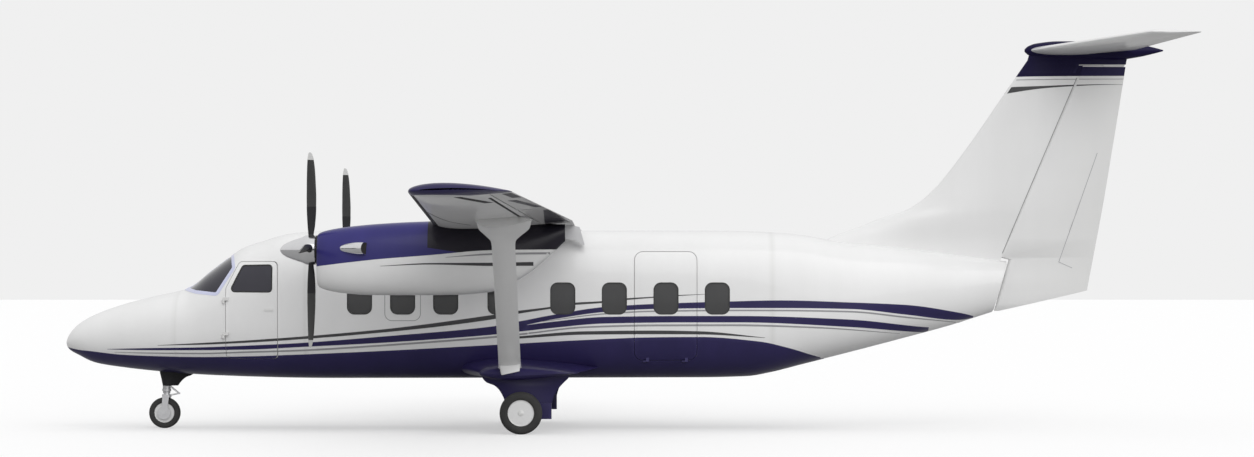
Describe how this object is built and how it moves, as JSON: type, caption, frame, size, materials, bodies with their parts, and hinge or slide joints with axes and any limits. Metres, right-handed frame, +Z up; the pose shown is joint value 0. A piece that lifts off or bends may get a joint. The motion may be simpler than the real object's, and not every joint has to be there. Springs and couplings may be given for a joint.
{
  "type": "twin turboprop airliner",
  "caption": "High-wing strut-braced twin turboprop airliner with a T-tail, fixed gear and an airstair, parked on its wheels.",
  "frame": {"origin": "on the ground under the middle of the aircraft's box", "axes": "nose towards -X, left wing towards -Y, +Z up"},
  "size_m": [16.7, 22.02, 5.893],
  "materials": {
    "white_skin": "glossy white paint on aluminium sheet",
    "navy_skin": "glossy navy paint on aluminium sheet",
    "gear_metal": "grey enamel on steel",
    "polished_metal": "polished bare metal",
    "blade": "satin black paint",
    "engine_metal": "bare heat-stained metal",
    "tyre": "black rubber",
    "wheel": "pale painted wheel",
    "glass": "dark tinted glazing",
    "floor_panel": "grey floor panel",
    "trim": "dark matt moulding",
    "seat": "dark seat cloth"
  },
  "bodies": {
    "airframe": {"cabin_floor": "floor_panel", "cabin_section": "white_skin", "cockpit_section": "white_skin", "crew_seat_left": "seat", "crew_seat_right": "seat", "engine_left": "engine_metal", "engine_right": "engine_metal", "fin": "white_skin", "instrument_panel": "trim", "main_leg_left": "navy_skin", "main_leg_right": "navy_skin", "nacelle_left": "white_skin", "nacelle_right": "white_skin", "nose_gear_fairing": "gear_metal", "nose_section": "white_skin", "nose_strut": "gear_metal", "stabiliser": "white_skin", "stub_wing_left": "navy_skin", "stub_wing_right": "navy_skin", "tail_bullet": "navy_skin", "tail_cone": "white_skin", "windscreen_left": "glass", "windscreen_right": "glass", "wing_left": "white_skin", "wing_right": "white_skin", "wing_strut_left": "white_skin", "wing_strut_right": "white_skin"},
    "nose_steering": {"nose_fork": "gear_metal"},
    "nose_wheel": {"nose_wheel": "wheel", "nose_tyre": "tyre"},
    "rudder": {"rudder": "white_skin"},
    "airstair": {"airstair_door": "white_skin"},
    "main_wheel_left": {"main_left_wheel": "wheel", "main_left_tyre": "tyre"},
    "main_wheel_right": {"main_right_wheel": "wheel", "main_right_tyre": "tyre"},
    "propeller_left": {"propeller_left": "blade", "spinner_left": "polished_metal"},
    "propeller_right": {"propeller_right": "blade", "spinner_right": "polished_metal"},
    "elevator_left": {"elevator_left": "white_skin"},
    "elevator_right": {"elevator_right": "white_skin"},
    "flap_inner_left": {"flap_inner_left": "white_skin"},
    "flap_inner_right": {"flap_inner_right": "white_skin"},
    "flap_outer_left": {"flap_outer_left": "white_skin"},
    "flap_outer_right": {"flap_outer_right": "white_skin"},
    "aileron_left": {"aileron_left": "white_skin"},
    "aileron_right": {"aileron_right": "white_skin"},
    "crew_door_left": {"crew_door_left": "white_skin", "crew_window_left": "glass"},
    "crew_door_right": {"crew_door_right": "white_skin", "crew_window_right": "glass"}
  },
  "joints": [
    {"name": "nose_steer", "type": "hinge", "parent": "airframe", "child": "nose_steering", "pos_m": [-6.83, 0, 0.5], "axis": [0, 0, 1], "range_deg": [-60, 60]},
    {"name": "nose_wheel_spin", "type": "hinge", "parent": "nose_steering", "child": "nose_wheel", "pos_m": [-6.857, 0, 0.235], "axis": [0, 1, 0], "continuous": true},
    {"name": "main_wheel_left_spin", "type": "hinge", "parent": "airframe", "child": "main_wheel_left", "pos_m": [-1.365, -2.115, 0.31], "axis": [0, 1, 0], "continuous": true},
    {"name": "main_wheel_right_spin", "type": "hinge", "parent": "airframe", "child": "main_wheel_right", "pos_m": [-1.365, 2.115, 0.31], "axis": [0, 1, 0], "continuous": true},
    {"name": "propeller_left_spin", "type": "hinge", "parent": "airframe", "child": "propeller_left", "pos_m": [-4.349, -2.8, 2.673], "axis": [1, 0, 0], "continuous": true},
    {"name": "propeller_right_spin", "type": "hinge", "parent": "airframe", "child": "propeller_right", "pos_m": [-4.349, 2.8, 2.673], "axis": [1, 0, 0], "continuous": true},
    {"name": "rudder_turn", "type": "hinge", "parent": "airframe", "child": "rudder", "pos_m": [5.882, 0, 2.545], "axis": [0.3908, 0, 0.9205], "range_deg": [-25, 25]},
    {"name": "elevator_left_turn", "type": "hinge", "parent": "airframe", "child": "elevator_left", "pos_m": [7.30686, -0.175, 5.75], "axis": [-0.221, 0.9753, 0], "range_deg": [-20, 18]},
    {"name": "elevator_right_turn", "type": "hinge", "parent": "airframe", "child": "elevator_right", "pos_m": [7.30686, 0.175, 5.75], "axis": [0.221, 0.9753, 0], "range_deg": [-20, 18]},
    {"name": "flap_inner_left_turn", "type": "hinge", "parent": "airframe", "child": "flap_inner_left", "pos_m": [-1.03, -1.1, 3.09597], "axis": [0, 1, -0.0061], "range_deg": [0, 35]},
    {"name": "flap_inner_right_turn", "type": "hinge", "parent": "airframe", "child": "flap_inner_right", "pos_m": [-1.03, 1.1, 3.09597], "axis": [0, 1, 0.0061], "range_deg": [0, 35]},
    {"name": "flap_outer_left_turn", "type": "hinge", "parent": "airframe", "child": "flap_outer_left", "pos_m": [-1.03, -3.26, 3.10906], "axis": [0.0569, 0.9982, -0.0201], "range_deg": [0, 35]},
    {"name": "flap_outer_right_turn", "type": "hinge", "parent": "airframe", "child": "flap_outer_right", "pos_m": [-1.03, 3.26, 3.10906], "axis": [-0.0569, 0.9982, 0.0201], "range_deg": [0, 35]},
    {"name": "aileron_left_turn", "type": "hinge", "parent": "airframe", "child": "aileron_left", "pos_m": [-1.24045, -6.95, 3.18353], "axis": [0.0575, 0.9981, -0.0203], "range_deg": [-22, 22]},
    {"name": "aileron_right_turn", "type": "hinge", "parent": "airframe", "child": "aileron_right", "pos_m": [-1.24045, 6.95, 3.18353], "axis": [-0.0575, 0.9981, 0.0203], "range_deg": [-22, 22]},
    {"name": "crew_door_left_open", "type": "hinge", "parent": "airframe", "child": "crew_door_left", "pos_m": [-5.84, -0.932, 1.38], "axis": [0, 0, -1], "range_deg": [0, 80]},
    {"name": "crew_door_right_open", "type": "hinge", "parent": "airframe", "child": "crew_door_right", "pos_m": [-5.84, 0.932, 1.38], "axis": [0, 0, 1], "range_deg": [0, 80]},
    {"name": "airstair_open", "type": "hinge", "parent": "airframe", "child": "airstair", "pos_m": [0.42, -0.897, 1.04], "axis": [1, 0, 0], "range_deg": [0, 120]}
  ],
  "couplings": [
    {"joint": "elevator_right_turn", "follows": "elevator_left_turn", "ratio": 1},
    {"joint": "aileron_right_turn", "follows": "aileron_left_turn", "ratio": -1},
    {"joint": "flap_inner_right_turn", "follows": "flap_inner_left_turn", "ratio": 1},
    {"joint": "flap_outer_left_turn", "follows": "flap_inner_left_turn", "ratio": 1},
    {"joint": "flap_outer_right_turn", "follows": "flap_inner_left_turn", "ratio": 1}
  ]
}
